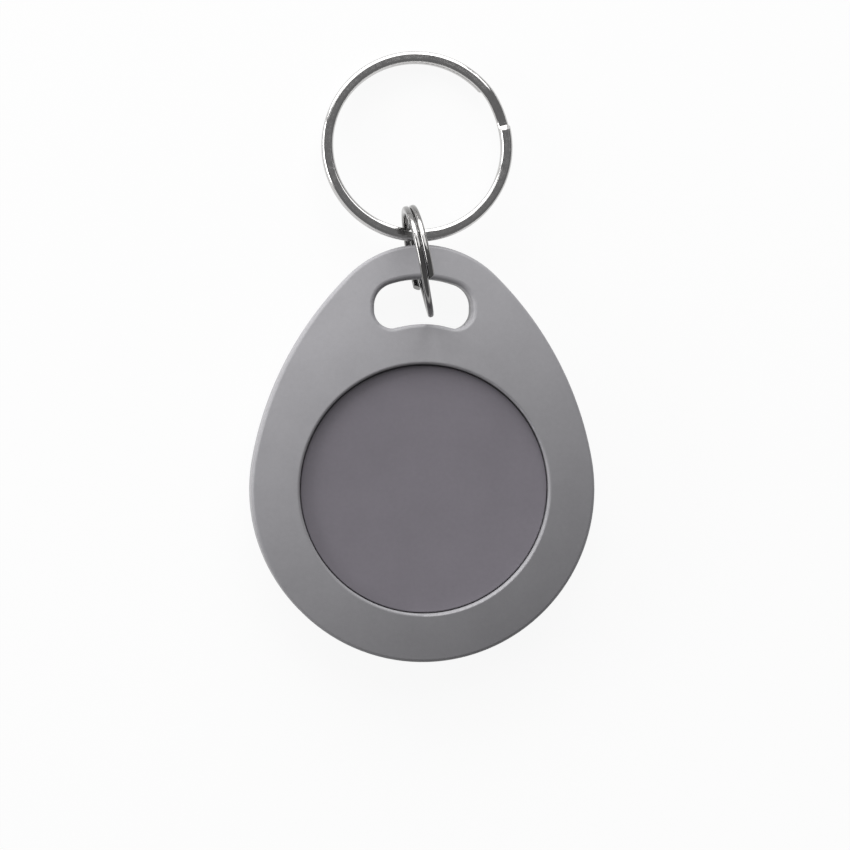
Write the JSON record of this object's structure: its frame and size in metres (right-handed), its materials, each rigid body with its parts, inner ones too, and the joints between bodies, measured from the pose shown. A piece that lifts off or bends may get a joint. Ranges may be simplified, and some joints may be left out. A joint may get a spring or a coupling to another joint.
{
  "type": "rfid key fob tag",
  "caption": "Drop-shaped plastic proximity tag with a round sunk disc and a bean slot, on a small split ring and a larger split key ring.",
  "frame": {"origin": "on the flat seat of the back, under the centre of the round disc", "axes": "+Z out of the front face, +Y from the disc to the slot and the rings, +X to the right seen from the front"},
  "size_m": [0.0348, 0.0621, 0.0115],
  "materials": {
    "shell_plastic": "fine moulded texture, satin grey",
    "disc_plastic": "smooth satin, darker violet grey",
    "coil_wire": "enamelled copper winding",
    "board_laminate": "green laminate",
    "seal_epoxy": "black epoxy drop",
    "solder": "bright solder",
    "ring_steel": "bright nickel-plated spring steel"
  },
  "bodies": {
    "tag": {"front_shell": "shell_plastic", "rear_shell": "shell_plastic", "face_disc": "disc_plastic", "antenna_coil": "coil_wire", "chip_board": "board_laminate", "chip_seal": "seal_epoxy", "solder_joint_right": "solder", "solder_joint_left": "solder"},
    "small_ring": {"link_ring": "ring_steel"},
    "large_ring": {"key_ring": "ring_steel"}
  },
  "joints": [
    {"name": "link_swing", "type": "hinge", "parent": "tag", "child": "small_ring", "pos_m": [-0.00037, 0.0223, 0.0029], "axis": [0.9799, 0.1994, 0], "range_deg": [-90, 8]},
    {"name": "key_ring_swing", "type": "hinge", "parent": "small_ring", "child": "large_ring", "pos_m": [-0.0004, 0.02568, 0.00295], "axis": [1, 0, 0], "range_deg": [-60, 120]}
  ]
}
